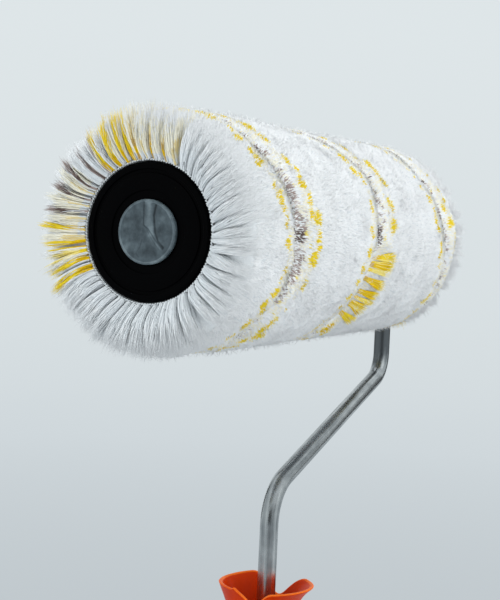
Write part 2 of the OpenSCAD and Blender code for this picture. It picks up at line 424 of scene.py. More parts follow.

# Colours of a strand from root to tip, for each look of a lock; the darker, greyer roots are painted shade
# low in the pile
ROOT_TO_TIP = {
    "white": "root_grey shade shade white white",
    "soft_white": "root_grey root_grey shade soft_white soft_white",
    "shade": "root_grey root_grey shade shade soft_white",
    "root_grey": "root_grey root_grey root_grey shade shade",
    "cream": "shade cream cream cream soft_white",
    "straw": "straw straw straw cream cream",
    "pale_yellow": "yellow pale_yellow pale_yellow pale_yellow cream",
    "yellow": "deep_yellow deep_yellow yellow yellow yellow",
    "deep_yellow": "tan deep_yellow deep_yellow deep_yellow yellow",
    "tan": "tan deep_yellow tan straw cream",
    "grey_taupe": "taupe grey_taupe grey_taupe grey_taupe grey_taupe",
    "taupe": "taupe taupe taupe taupe grey_taupe",
    "dark_taupe": "taupe dark_taupe dark_taupe dark_taupe taupe",
}
FADES = np.array([[YARN[step] for step in ROOT_TO_TIP[name].split()] for name in YARN_COLORS])


def fade_slots(looks, levels):
    """Slot of each level of each strand; a short tuft of under five levels has its fade's fourth colour."""
    first, last = (3, 3) if levels < 5 else (0, 4)
    step = np.round(np.linspace(first, last, levels - 1)).astype(int)
    return FADES[looks][:, np.append(step, last)]


# ---- the stripe

# The helix: its advance in a turn, the place of its first turn at -Y, and how its slope varies
PITCH = 88.0
FIRST_BAND = -85.0
BACK_LEAN = 0.8
# Distances from the stripe's middle to its yellow edges
LEFT_EDGE = 11.0
RIGHT_EDGE = 15.0
# Where each turn of the stripe strays from its even winding: (angle, shift along the axle)
STRAYS = {
    0: [(-180, 0), (-100, -4), (-50, -6), (-30, -1), (-12, 5), (8, 5), (25, 0), (45, -3), (90, 0), (180, 0)],
    1: [(-180, 0), (-80, -16), (-54, -15), (-36, -11), (-15, -6), (0, -3), (20, 2), (35, 6), (45, 3),
        (70, -6), (110, -3), (180, 0)],
    2: [(-180, 0), (-110, 5), (-74, 9), (-40, 7), (-15, 3), (0, 0), (18, -4), (38, -9), (80, -4), (180, 0)],
}


def winding(angle):
    """Turns of the stripe up to an angle; it leans more behind than in front."""
    return angle / (2 * math.pi) - BACK_LEAN * np.sin(angle) / (2 * math.pi)


def stray(band, angle):
    """How far a turn of the stripe strays from its even winding."""
    spots, shifts = zip(*STRAYS.get(band, [(0, 0.0)]))
    return np.interp(np.degrees(angle), spots, shifts)


def stripe_offset(along, angle):
    """How far along the axle a point is from the middle of the nearest turn, and that turn's number."""
    angle = wrap(angle)
    place = (along - FIRST_BAND) / PITCH + winding(angle)
    band = np.round(place)
    offset = (place - band) * PITCH
    for number in STRAYS:
        offset = offset - np.where(band == number, stray(number, angle), 0.0)
    return offset, band


def stripe_point(band, angle, offset):
    """Place along the axle of a point that is offset from the middle of a turn."""
    return FIRST_BAND + PITCH * (band - winding(angle)) + stray(band, angle) + offset


def knots():
    """Seeded knots of coloured yarn along the stripe: place, angle, radius, look."""
    found = []
    for band in range(-1, 4):
        for look, offset, spread, step, sizes in (
            ("yellow", -LEFT_EDGE, 1.6, 6.0, (1.0, 2.4)),
            ("yellow", RIGHT_EDGE, 2.4, 7.5, (1.2, 2.9)),
            ("taupe", 0.5, 2.4, 8.5, (0.7, 2.1)),
            ("dark_taupe", 0.5, 1.4, 11.0, (0.7, 1.5)),
            ("pale_yellow", 8.0, 5.0, 9.0, (0.6, 1.3)),
        ):
            angle = -math.pi
            while angle < math.pi:
                angle += step * (0.4 + 1.2 * rng.random()) / PILE_R
                narrow = 0.75 + 0.25 * math.cos(angle)
                place = stripe_point(band, angle, offset * narrow + spread * rng.normal() * 0.6)
                size = sizes[0] + (sizes[1] - sizes[0]) * rng.random() ** 1.6
                beside_fans = band == 1 and offset > 1 and -1.0 < angle < -0.1
                if abs(place) < CAP_FACE + 1 and not beside_fans:
                    found.append((float(place), angle, size, YARN[look]))
    # The large dark tangle of the first turn, and the dark and yellow knots that stand out
    for band, degrees, offset, size, look in (
        (0, 5, 0.5, 6.0, "taupe"), (0, 1, 3.0, 3.0, "dark_taupe"), (0, -9, 4.0, 3.2, "taupe"),
        (0, -16, 0.0, 3.4, "taupe"), (0, 23, 1.0, 3.4, "taupe"), (0, 14, -1.5, 1.6, "dark_taupe"),
        (1, 1, 0.5, 2.6, "dark_taupe"), (1, 6, 0.0, 2.0, "dark_taupe"), (1, -15, -0.5, 2.0, "dark_taupe"),
        (2, -24, -1.0, 2.4, "dark_taupe"), (2, 3, 0.0, 2.0, "taupe"), (2, 19, -1.0, 2.0, "taupe"),
        (0, 10, 15.5, 2.2, "yellow"), (0, 12, 12.5, 1.6, "yellow"), (0, 2, 16.0, 1.7, "yellow"),
        (0, -4, 16.0, 1.7, "yellow"), (0, -9, 13.0, 2.8, "yellow"), (2, 2, 15.0, 2.8, "yellow"),
        (2, 12, 8.5, 2.6, "yellow"), (2, 21, 7.5, 2.2, "yellow"), (1, 22, 12.0, 1.8, "yellow"),
        (1, 39, -14.0, 2.2, "yellow"), (0, -50, 12.0, 3.0, "yellow"), (1, -60, 8.0, 3.4, "deep_yellow"),
    ):
        angle = math.radians(degrees)
        found.append((float(stripe_point(band, angle, offset)), angle, size, YARN[look]))
    return found


KNOTS = knots()


def side_looks(along, angle):
    """Look of each tuft of the cover's side."""
    count = len(along)
    offset, band = stripe_offset(along, angle)
    spot = on_cover(along, angle, PILE_R)
    looks = rng.choice([YARN["white"], YARN["soft_white"], YARN["shade"]], count, p=[0.62, 0.3, 0.08])
    narrow = 0.75 + 0.25 * np.cos(angle)
    within = (offset > -LEFT_EDGE * narrow) & (offset < RIGHT_EDGE * narrow)
    haze = noise3(spot, 4.0, 1)
    chance = rng.random(count)
    looks[within & (haze > -0.35) & (chance < 0.6)] = YARN["cream"]
    looks[within & (haze > 0.1) & (chance < 0.16)] = YARN["straw"]
    middle = np.abs(offset - 0.5) < 3.8
    speckle = noise3(spot, 3.0, 2)
    looks[middle & (speckle > 0.12) & (chance < 0.38)] = YARN["grey_taupe"]
    looks[middle & (speckle > 0.3) & (chance < 0.2)] = YARN["taupe"]
    low = within & (angle < math.radians(-14)) & (angle > math.radians(-95)) & (band == 0)
    looks[low & (chance > 0.8)] = YARN["straw"]
    looks[low & (chance > 0.9)] = YARN["grey_taupe"]
    wrapped = wrap(angle)
    for place, knot_angle, size, look in KNOTS:
        around = wrap(wrapped - knot_angle)
        distance = np.hypot(along - place, around * PILE_R)
        ragged = size * (1 + 0.3 * haze)
        yellow = look in (YARN["yellow"], YARN["deep_yellow"])
        fringe, scarce, full = ("pale_yellow", 0.6, 0.93) if yellow else ("grey_taupe", 0.85, 0.68)
        looks[(distance < 1.45 * ragged) & (distance > ragged) & (chance > scarce)] = YARN[fringe]
        looks[(distance < ragged) & (chance < full)] = look
    return looks, offset


def window(angle, low, high, soft=8.0):
    """1 between two angles in degrees, easing to 0 outside."""
    degrees = np.degrees(wrap(angle))
    return smooth((degrees - low) / soft) * smooth((high - degrees) / soft)


def parting(offset, band, angle, spot):
    """Depth of the groove where the pile parts along the stripe.

    It is a soft hollow, a sharp cut on the underside, and a slope at the fans and at the large tangle.
    """
    depth = np.clip(1.7 + 1.6 * noise3(spot, 14.0, 3), 0.3, 3.6)
    depth = depth * (0.35 + 0.65 * window(angle, -130, 20, 40.0))
    groove = depth * np.exp(-(((offset - 0.5) / 4.2) ** 2))
    groove += 2.6 * window(angle, -120, -26, 14.0) * np.exp(-(((offset + 0.5) / 1.2) ** 2))
    fall = np.exp(-((np.minimum(offset, 0) / 3.0) ** 2))
    slope = fall * (1 - smooth((offset - 4) / 16.0))
    groove += 3.8 * window(angle, -60, 0, 14.0) * slope * (band == 1)
    groove += 2.0 * window(angle, -22, 16, 14.0) * fall * (1 - smooth(offset / 12.0)) * (band == 0)
    return groove


SHOULDER_TUCK = 2.6


def surface_radius(along, angle, base):
    """Radius of the pile's side at base, with its lumps, folds, parting and tucked-in shoulders."""
    spot = on_cover(along, angle, PILE_R)
    offset, band = stripe_offset(along, angle)
    folds = noise3(spot * np.array([3.2, 1.0, 1.0]), 18.0, 4) * window(angle, -95, 5, 30.0)
    lumps = 0.6 * noise3(spot, 17.0, 0) + 0.45 * noise3(spot, 7.5, 4) + 0.14 * noise3(spot, 3.0, 5)
    tuck = SHOULDER_TUCK * smooth((np.abs(along) - CAP_FACE + 14) / 11)
    return base + lumps + 0.5 * folds - tuck - parting(offset, band, angle, spot)


# ---- the pile

# The solid mass below the tips: its radius, its swell past the shoulder and its bore
SKIN_R = PILE_R - 1.0
SKIN_BULGE = BULGE - 4.2
BORE_R = CAP_R + 0.3
# Length of the side's tufts, and radii of strands from root to tip
TUFT_LENGTH = 1.15
TUFT_RADII = [0.38, 0.33]
LOCK_RADII = [0.19, 0.2, 0.18, 0.135, 0.085]
FAN_RADII = [0.14, 0.18, 0.21, 0.2, 0.13]
HAIR_RADII = [0.12, 0.1, 0.07]


def pile_skin():
    """The solid mass of pile, a lumpy tube with rolled ends, whose tips are separate strands."""
    mid = (BORE_R + SKIN_R) / 2
    half = (SKIN_R - CAP_R - 0.3) / 2
    turn = np.linspace(0, math.pi, 26)
    roll = mid - half * np.cos(turn)
    swell = SKIN_BULGE * np.sin(turn) * (0.5 + 0.5 * smooth((roll - CAP_R - 1) / 10))
    near = np.stack([-SHOULDER - swell, roll], axis=1)
    side = np.stack([np.linspace(-SHOULDER, SHOULDER, 240)[1:-1], np.full(238, SKIN_R)], axis=1)
    far = near[::-1] * np.array([-1, 1])
    inner = np.stack([np.linspace(SHOULDER, -SHOULDER, 24)[1:-1], np.full(22, BORE_R)], axis=1)
    profile = np.vstack([near, side, far, inner])
    around = np.linspace(0, 2 * math.pi, 300, endpoint=False)
    along, angle = [a.ravel() for a in np.meshgrid(profile[:, 0], around, indexing="ij")]
    radius = np.repeat(profile[:, 1], len(around))
    outer = smooth((radius - mid) / half)
    lumpy = surface_radius(along, angle, SKIN_R) - SKIN_R
    radius = radius + lumpy * outer
    points = on_cover(along, angle, radius)
    obj = grid_mesh("pile_mass", points.reshape(len(profile), len(around), 3), [pile_ground()],
                    close_u=True, close_v=True)
    paint_skin(obj, along, angle, radius)
    return obj


def paint_skin(obj, along, angle, radius):
    """Colours the pile's mass where the stripe's yarn runs, and paints shade on it beside the caps."""
    offset = stripe_offset(along, angle)[0]
    spot = on_cover(along, angle, radius)
    color = np.tile(GROUND_SHADED_WHITE, (len(along), 1)) * (1 + 0.04 * noise3(spot, 6.0, 1))[:, None]
    cream = np.clip(1 - np.abs(offset - 2) / 15, 0, 1) * (0.5 + 0.5 * noise3(spot, 5.0, 2))
    brown = np.exp(-(((offset - 0.5) / 3.0) ** 2)) * np.clip(0.6 + noise3(spot, 4.0, 3), 0, 1)
    # Painted shade: the mass darkens towards each cap, where the strands' roots crowd
    deep = 1 - smooth((radius - CAP_R - 3) / 17)
    for tint, share in ((GROUND_CREAM, 0.7 * cream), (GROUND_BROWN, 0.5 * brown), (GROUND_CAP_SHADE, 0.9 * deep)):
        color += (np.array(tint) - color) * share[:, None]
    attribute = obj.data.color_attributes.new("yarn", "FLOAT_COLOR", "POINT")
    rgba = np.concatenate([color, np.ones((len(color), 1))], axis=1).astype(np.float32)
    attribute.data.foreach_set("color", rgba.ravel())


def curves(root, bend, tip, levels):
    """Points of quadratic curves (n, levels, 3). Root, bend and tip are (along, angle, radius)."""
    root, bend, tip = (on_cover(*place)[:, None] for place in (root, bend, tip))
    t = np.linspace(0, 1, levels)[None, :, None]
    return (1 - t) ** 2 * root + 2 * t * (1 - t) * bend + t**2 * tip


def out_of_side(along, angle, levels):
    """Outward direction of the lumpy side at each strand, repeated for its points."""
    step = 0.6
    low = surface_radius(along, angle, SKIN_R)
    rise = (surface_radius(along + step, angle, SKIN_R) - low) / step
    swing = (surface_radius(along, angle + step / PILE_R, SKIN_R) - low) / step
    radial = np.stack([np.zeros(len(along)), -np.cos(angle), np.sin(angle)], axis=1)
    around = np.stack([np.zeros(len(along)), np.sin(angle), np.cos(angle)], axis=1)
    out = radial - rise[:, None] * np.array([1.0, 0.0, 0.0]) - swing[:, None] * around
    out /= np.linalg.norm(out, axis=1, keepdims=True)
    return np.repeat(out[:, None], levels, axis=1)


def out_of_end(paths, side):
    """Outward direction of the rolled end at each point of the strands' paths."""
    y, z = paths[..., 1], paths[..., 2] - AXLE_Z
    radius = np.hypot(y, z)
    tilt = np.radians(85) * smooth((radius - 32.0) / 14.0)
    return np.stack([side * np.cos(tilt), y / radius * np.sin(tilt), z / radius * np.sin(tilt)], axis=-1)


def side_tufts(part, parts, spacing=0.72):
    """Short blunt tips over the cover's side, one share of its length."""
    reach = CAP_FACE - 2.5
    low = -reach + 2 * reach * part / parts
    high = -reach + 2 * reach * (part + 1) / parts
    rows = int((high - low) / spacing)
    ring = int(2 * math.pi * PILE_R / spacing)
    along, angle = np.meshgrid(np.arange(rows) + 0.5, np.arange(ring), indexing="ij")
    along = along + 0.5 * (np.arange(ring) % 2)[None, :] + rng.uniform(-0.45, 0.45, along.shape)
    angle = angle + rng.uniform(-0.45, 0.45, angle.shape)
    along = (low + along * (high - low) / rows).ravel()
    angle = (angle * 2 * math.pi / ring).ravel()
    looks, offset = side_looks(along, angle)
    spot = on_cover(along, angle, PILE_R)
    skin = surface_radius(along, angle, SKIN_R)
    away = np.sign(offset - 0.5) * np.exp(-(((np.abs(offset - 0.5) - 3.5) / 3.0) ** 2))
    lean_along = away + 0.45 * noise3(spot, 7.0, 1) + rng.normal(0, 0.22, len(along))
    lean_around = 0.45 * noise3(spot, 7.0, 2) + rng.normal(0, 0.22, len(along))
    length = TUFT_LENGTH + 0.2 * noise3(spot, 2.5, 3) + rng.normal(0, 0.14, len(along))
    root = (along, angle, skin - 0.7)
    bend = (along + 0.3 * lean_along, angle + 0.3 * lean_around / PILE_R, skin + 0.7 * length)
    tip = (along + lean_along, angle + lean_around / PILE_R, skin + length)
    paths = curves(root, bend, tip, 3)
    radii = np.array(TUFT_RADII) * rng.uniform(0.8, 1.2, (len(along), 1))
    return strand_mesh(f"pile_side_{part + 1}", paths, radii, looks, out_of_side(along, angle, 3), 0.68)


# Coloured locks of an end, where the stripe crosses it: angle, half width in degrees and look.
# The far end has the same ones, turned by FAR_TURN.
FAR_TURN = 77
END_LOCKS = [
    (125, 1.5, "yellow"), (117, 2.0, "yellow"), (109.5, 1.6, "yellow"), (104, 2.4, "yellow"),
    (98, 1.0, "tan"), (92, 1.1, "straw"), (86, 0.8, "tan"), (75, 1.0, "tan"), (66, 0.9, "straw"),
    (128, 0.5, "taupe"), (135, 0.7, "taupe"), (146, 1.3, "dark_taupe"), (150, 1.0, "straw"),
    (156, 1.2, "dark_taupe"), (161, 1.2, "straw"), (166, 1.3, "dark_taupe"), (172, 1.3, "straw"),
    (180, 1.6, "yellow"), (186, 1.8, "straw"), (191, 2.6, "yellow"), (197, 1.4, "pale_yellow"),
    (203, 2.3, "yellow"), (211, 2.3, "yellow"),
]
CREAM_ZONES = [(64, 120), (142, 200)]


def end_looks(degrees, chance):
    """Look of a strand at this angle of the near end, in degrees from 0 to 360; chance is 0 to 1."""
    for middle, half, look in END_LOCKS:
        if abs((degrees - middle + 180) % 360 - 180) < half and chance < 0.9:
            return YARN[look]
    for low, high in CREAM_ZONES:
        if low < degrees < high and chance < 0.93:
            return YARN["cream"]
    # Half the end's strands take the greyest white: painted shade, the end face lying darker than the side
    return YARN["white"] if chance < 0.16 else YARN["soft_white"] if chance < 0.5 else YARN["shade"]


# Layers of locks from the front of the end face to its edge: root depth, tip's reach past the
# flange, tip's radius and strands in a lock
LAYERS = [(-0.6, 8.4, 37.5, 62), (0.4, 8.4, 40.6, 72), (1.8, 7.2, 42.8, 72), (3.6, 4.6, 44.2, 62),
          (5.8, 1.2, 44.9, 52), (8.4, -2.6, 45.0, 44), (11.0, -6.0, 44.6, 36), (14.0, -9.6, 43.9, 24)]
LOCKS = 76
END_NAMES = {-1: "near", 1: "far"}


def lock_plan(side):
    """Where the locks of one end stand and how they lean, shared by its layers."""
    angles = (np.arange(LOCKS) + rng.uniform(-0.32, 0.32, LOCKS)) * 2 * math.pi / LOCKS
    place = on_cover(np.full(LOCKS, 40.0 * side), angles, 30.0)
    swirl = math.radians(5) * noise3(place, 13.0, 0) + rng.normal(0, math.radians(1.3), LOCKS)
    sag = math.radians(3.5) * noise3(place, 25.0, 2)
    reach = 1.0 * noise3(place, 8.0, 3) + rng.normal(0, 0.4, LOCKS)
    radius = 0.8 * noise3(place, 9.0, 4) + rng.normal(0, 0.45, LOCKS)
    return angles, swirl, sag, reach, radius


def end_locks(side, layer, plan, levels=6):
    """Long locks that spring from the cap's rim and fan out over the end, one layer of them."""
    depth, reach, tip_radius, strands = LAYERS[layer]
    angles, swirl, sag, lock_reach, lock_radius = plan
    pick = np.repeat(np.arange(LOCKS), strands)
    n = len(pick)
    spread = rng.uniform(-1, 1, n) + rng.normal(0, 0.2, n)
    share = math.pi / LOCKS
    turned = np.degrees(angles[pick] + share * spread) - (0 if side < 0 else FAR_TURN)
    looks = np.array([end_looks(d % 360, c) for d, c in zip(turned, rng.random(n))])
    root_angle = angles[pick] + 0.58 * share * spread
    root_radius = CAP_R + 0.7 + 0.2 * layer + rng.uniform(-0.1, 0.9, n) + 0.3 * np.abs(spread)
    root_along = SHOULDER + 2.4 - depth + rng.normal(0, 0.25, n)
    tip_angle = angles[pick] + (swirl + sag)[pick] + (0.82 + 0.06 * layer) * share * spread
    tip_angle = tip_angle + rng.normal(0, 0.006, n)
    left = smooth((-np.cos(tip_angle) - 0.2) / 0.5)
    tip_r = tip_radius - 2.4 * left + lock_radius[pick] + rng.normal(0, 1.1, n) - 0.5 * spread**2
    tip_along = SHOULDER + reach + lock_reach[pick]
    tip_along = tip_along + rng.normal(0, 0.6 + 0.3 * layer, n) - 0.8 * spread**2
    bend_angle = (root_angle + tip_angle) / 2 - 0.55 * swirl[pick]
    bend_radius = root_radius + 0.42 * (tip_r - root_radius)
    bend_along = root_along + 0.85 * (tip_along - root_along) + 2.0
    root = (side * root_along, root_angle, root_radius)
    bend = (side * bend_along, bend_angle, bend_radius)
    tip = (side * tip_along, tip_angle, tip_r)
    paths = curves(root, bend, tip, levels)
    radii = np.array(LOCK_RADII) * rng.uniform(0.75, 1.25, (n, 1))
    name = f"pile_{END_NAMES[side]}_end_{layer + 1}"
    return strand_mesh(name, paths, radii, looks, out_of_end(paths, side), 0.42)


def fans():
    """Long yellow tufts that lie open on the slope of the middle turn's parting."""
    paths, looks = [], []
    for degrees, width, drop, look in (
        (-10, 2.6, 1.0, "yellow"), (-14, 3.0, -1.0, "deep_yellow"), (-17.5, 1.6, -1.0, "pale_yellow"),
        (-23, 2.4, -3.5, "deep_yellow"), (-31, 2.2, -1.0, "deep_yellow"), (-35, 1.2, -2.0, "yellow"),
        (-39, 3.6, -4.0, "deep_yellow"), (-47, 2.4, -4.0, "yellow"),
    ):
        count = 90
        angle = math.radians(degrees)
        spread = rng.uniform(-1, 1, count)
        tip_angle = angle + (spread * width + drop * 0.6) / PILE_R
        middle = stripe_point(1, angle, 0.0)
        root = (middle + 5.0 + rng.normal(0, 0.25, count), angle + 0.42 * spread * width / PILE_R,
                PILE_R - 4.8 + rng.normal(0, 0.15, count))
        reach = 20.0 - 2.5 * spread**2 + rng.normal(0, 1.5, count)
        bend = (middle + 11.0, angle + 0.4 * (tip_angle - angle), PILE_R - 1.3)
        tip = (middle + reach, tip_angle + rng.normal(0, 0.006, count),
               PILE_R + 0.8 + rng.normal(0, 0.5, count))
        paths.append(curves(root, bend, tip, 6))
        paler = rng.random(count) < 0.25
        looks.append(np.where(paler, YARN["pale_yellow"], YARN[look]))
    looks = np.concatenate(looks)
    paths = np.concatenate(paths)
    facing = paths - np.array([0.0, 0.0, AXLE_Z])
    facing = facing * np.array([0.0, 1.0, 1.0]) + np.array([-18.0, 0.0, 0.0])
    facing /= np.linalg.norm(facing, axis=2, keepdims=True)
    return strand_mesh("pile_open_tufts", paths, FAN_RADII, looks, facing, 0.6)


def flyaways(count=9000):
    """Single fine hairs that stand off the side and soften its outline."""
    along = rng.uniform(-CAP_FACE, CAP_FACE, count)
    angle = rng.uniform(-math.pi, math.pi, count)
    skin = surface_radius(along, angle, SKIN_R)
    lean = rng.normal(0, 1.6, (2, count))
    length = rng.uniform(1.7, 3.3, count)
    root = (along, angle, skin)
    bend = (along + 0.2 * lean[0], angle + 0.2 * lean[1] / PILE_R, skin + 0.6 * length)
    tip = (along + lean[0], angle + lean[1] / PILE_R, skin + length)
    looks = np.full(count, YARN["white"])
    paths = curves(root, bend, tip, 4)
    return strand_mesh("pile_flyaways", paths, HAIR_RADII, looks, out_of_side(along, angle, 4), 0.7)


def stitch_ring(side):
    """The fabric's cut edge beside the cap: a tight zigzag of backing yarn."""
    loops = 150
    steps = 10
    n = loops * steps
    t = np.arange(n) / steps
    angle = t * 2 * math.pi / loops
    wave = np.abs((t % 1) * 2 - 1)
    radius = CAP_R + 0.45 + 0.55 * wave + 0.12 * noise3(on_cover(t, angle, 26.0), 2.0, 1)
    along = CAP_FACE - 0.6 + 0.2 * np.sin(t * 2 * math.pi) - 0.2 * wave
    path = on_cover(side * along, angle, radius)
    tangent = np.roll(path, -1, axis=0) - np.roll(path, 1, axis=0)
    tangent /= np.linalg.norm(tangent, axis=1, keepdims=True)
    across = np.cross(tangent, (1.0, 0.0, 0.0))
    across /= np.linalg.norm(across, axis=1, keepdims=True)
    up = np.cross(across, tangent)
    corner = np.linspace(0, 2 * math.pi, 6, endpoint=False)
    ring = across[:, None] * np.cos(corner)[None, :, None] + up[:, None] * np.sin(corner)[None, :, None]
    tube = path[:, None] + 0.27 * ring
    # The edge takes the roots' light grey, painted shade beside the cap
    return grid_mesh(f"pile_{END_NAMES[side]}_edge", tube, [yarns[YARN["root_grey"]]], close_u=True,
                     close_v=True)


def build_pile():
    """Every piece of the pile; all of them ride on the cover."""
    pieces = [pile_skin()]
    parts = 8
    pieces += [side_tufts(part, parts) for part in range(parts)]
    for side in (-1, 1):
        plan = lock_plan(side)
        pieces += [end_locks(side, layer, plan) for layer in range(len(LAYERS))]
        pieces.append(stitch_ring(side))
    pieces += [fans(), flyaways()]
    for piece in pieces:
        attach(piece, "cover")
        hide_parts("pile")


# ---- end caps and plug

def rounded(corners, radius, steps=3):
    """A closed outline with each corner cut by a small arc of that reach."""
    corners = np.asarray(corners, float)
    out = []
    for i, corner in enumerate(corners):
        before = corners[i - 1] - corner
        after = corners[(i + 1) % len(corners)] - corner
        reach = min(radius, np.linalg.norm(before) * 0.45, np.linalg.norm(after) * 0.45)
        start = corner + before / np.linalg.norm(before) * reach
        stop = corner + after / np.linalg.norm(after) * reach
        for t in np.linspace(0, 1, steps + 1):
            out.append((1 - t) ** 2 * start + 2 * t * (1 - t) * corner + t**2 * stop)
    return np.array(out)


def end_cap(side, material):
    """A moulded cap: stepped face with fine grooves, a nicked rim, a hub and a spigot."""
    recess_r = PLUG_R + 0.3
    # Depth behind the face and radius, round the section
    corners = [
        (0.9, recess_r), (0.9, 14.8), (0.25, 14.8), (0.25, 21.0), (0.9, 21.0), (0.9, 22.3), (0.0, 22.3),
        (0.0, 24.3), (0.7, CAP_R), (3.0, CAP_R), (3.0, 22.0), (15.0, 22.0), (15.0, 20.0), (3.4, 20.0),
        (3.4, 12.6), (8.6, 12.6), (8.6, 9.5), (21.1, 9.5), (21.1, 6.5), (7.1, 6.5), (7.1, 10.6),
        (1.6, 10.6), (1.6, recess_r),
    ]
    outline = rounded(corners, 0.22)
    around = np.linspace(0, 2 * math.pi, 720, endpoint=False)
    depth, angle = np.meshgrid(outline[:, 0], around, indexing="ij")
    radius = np.repeat(outline[:, 1][:, None], len(around), axis=1)
    rim = (radius > 24.0) & (depth < 2.9)
    nicks = 0.05 * np.cos(144 * angle) * np.cos(11 * angle + 1.0) - 0.03
    radius = np.where(rim, radius + nicks, radius)
    points = on_cover(side * (CAP_FACE - depth), angle, radius)
    end = END_NAMES[side]
    obj = grid_mesh(f"{end}_cap_moulding", points, [material], close_u=True, close_v=True, flip=side > 0)
    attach(obj, "cover")
    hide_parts(f"{end}_end_cap")


def crease(across, up, line, width):
    """Bell-shaped weight near a polyline, for points in parts of the plug's radius."""
    best = np.full(across.shape, 1e9)
    for (x0, y0), (x1, y1) in zip(line[:-1], line[1:]):
        dx, dy = x1 - x0, y1 - y0
        t = np.clip(((across - x0) * dx + (up - y0) * dy) / (dx * dx + dy * dy), 0, 1)
        best = np.minimum(best, np.hypot(across - x0 - t * dx, up - y0 - t * dy))
    return np.exp(-((best / width) ** 2))


# Creases of the plug's face, in parts of its radius: height, width and the line it follows
CREASES = [
    (0.1, 0.15, [(0.09, 0.9), (0.08, 0.35), (0.2, -0.1), (0.45, -0.42)]),
    (-0.1, 0.022, [(-0.12, 0.95), (-0.11, 0.2), (0.05, 0.1), (0.33, -0.25), (0.58, -0.5)]),
    (-0.16, 0.034, [(0.3, 0.82), (0.24, 0.5), (0.3, 0.0), (0.42, -0.28), (0.6, -0.45)]),
    (-0.05, 0.018, [(-0.02, 0.12), (0.2, -0.22), (0.46, -0.52)]),
    (-0.05, 0.02, [(-0.15, -0.25), (-0.2, -0.45), (-0.34, -0.66), (-0.25, -0.78)]),
]
# Shallow dents of the plug's face: across, up and width
DENTS = [(-0.77, 0.03, 0.07), (0.5, 0.12, 0.12), (-0.6, -0.3, 0.08), (-0.78, -0.35, 0.06)]
# How far the plug's face lies behind its rim
SUNK = 0.16


def plug():
    """Blue-grey plug: a thin raised rim and the shallow creases of its moulding, with painted shade in the
    creases and dents and painted light on the raised parts and rim.
    """
    rings = np.concatenate([np.linspace(0.02, 0.93, 62), np.linspace(0.945, 1.0, 9)])
    around = np.linspace(0, 2 * math.pi, 240, endpoint=False)
    part, angle = np.meshgrid(rings, around, indexing="ij")
    across = part * np.cos(angle)
    up = part * np.sin(angle)
    height = -SUNK + SUNK * smooth((part - 0.9) / 0.05)
    height -= 0.3 * smooth((part - 0.975) / 0.025)
    for rise, width, line in CREASES:
        height += rise * crease(across, up, line, width)
    for x, y, width in DENTS:
        height -= 0.07 * np.exp(-(np.hypot(across - x, up - y) / width) ** 2)
    flat = np.stack([across.ravel(), up.ravel(), np.zeros(across.size)], axis=1)
    height += 0.02 * noise3(flat, 0.22, 2).reshape(height.shape) * (part < 0.9)
    face = on_cover(-(PLUG_FACE + height), angle, part * PLUG_R)
    back_radii = np.array([[PLUG_R], [PLUG_R - 0.1], [0.3]]) * np.ones((1, len(around)))
    back_along = -(PLUG_FACE - np.array([[1.7], [2.2], [2.2]])) * np.ones((1, len(around)))
    back = on_cover(back_along, np.tile(around, (3, 1)), back_radii)
    points = np.concatenate([face, back], axis=0)
    obj = grid_mesh("plug_face", points, [grey_plastic()], close_v=True, caps=("first", "last"))
    # Painted light and shade from the face's height: raised parts and the rim lighter, creases and dents
    # darker
    crease_shading = np.clip(0.5 + 2.6 * (height + SUNK), 0.0, 1.0)
    crease_shading = np.where(part > 0.93, 0.64, crease_shading)
    painted_relief_shading = np.concatenate([crease_shading.ravel(), np.full(back_radii.size, 0.5), [0.5, 0.5]]).astype(np.float32)
    obj.data.attributes.new("painted_relief_shading", "FLOAT", "POINT").data.foreach_set("value", painted_relief_shading)
    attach(obj, "cover")
    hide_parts("near_cap_plug")


# ---- rod

# The wire, its lower corners' depths below the axle, its bends' radii and its chamfered tip
WIRE_R = 4.0
ARM_DROP = 68.6
KNEE_DROP = 110.8
WIRE_BENDS = (14.0, 14.0, 20.0)
TIP_CHAMFER = 0.8
# The pinched ears: their heights above the wire's tail, and how much wider and thinner the wire is
EARS_LOW = 4.0
EARS_HIGH = 12.0
PINCH = 1.5


def wire_line(start_x, arm_x, tail_z):
    """Points (n, 3) of the wire's middle line from tip to tail: straight runs joined by arcs."""
    corners = [(start_x, AXLE_Z), (arm_x, AXLE_Z), (arm_x, AXLE_Z - ARM_DROP), (0, AXLE_Z - KNEE_DROP),
               (0, tail_z)]
    corners = [Vector(corner) for corner in corners]
    line = [corners[0]]
    for before, corner, after, bend in zip(corners, corners[1:], corners[2:], WIRE_BENDS):
        into = (corner - before).normalized()
        out = (after - corner).normalized()
        turn = into.angle(out)
        normal = Vector((-into.y, into.x))
        if normal.dot(out) < 0:
            normal = -normal
        centre = corner - into * (bend * math.tan(turn / 2)) + normal * bend
        for t in np.linspace(0, turn, 26):
            line.append(centre - normal * bend * math.cos(t) + into * bend * math.sin(t))
    line.append(corners[-1])
    points = [line[0]]
    for a, b in zip(line[:-1], line[1:]):
        steps = max(1, int((b - a).length / 2.0))
        points += [a.lerp(b, (s + 1) / steps) for s in range(steps)]
    return np.array([(p.x, 0.0, p.y) for p in points])


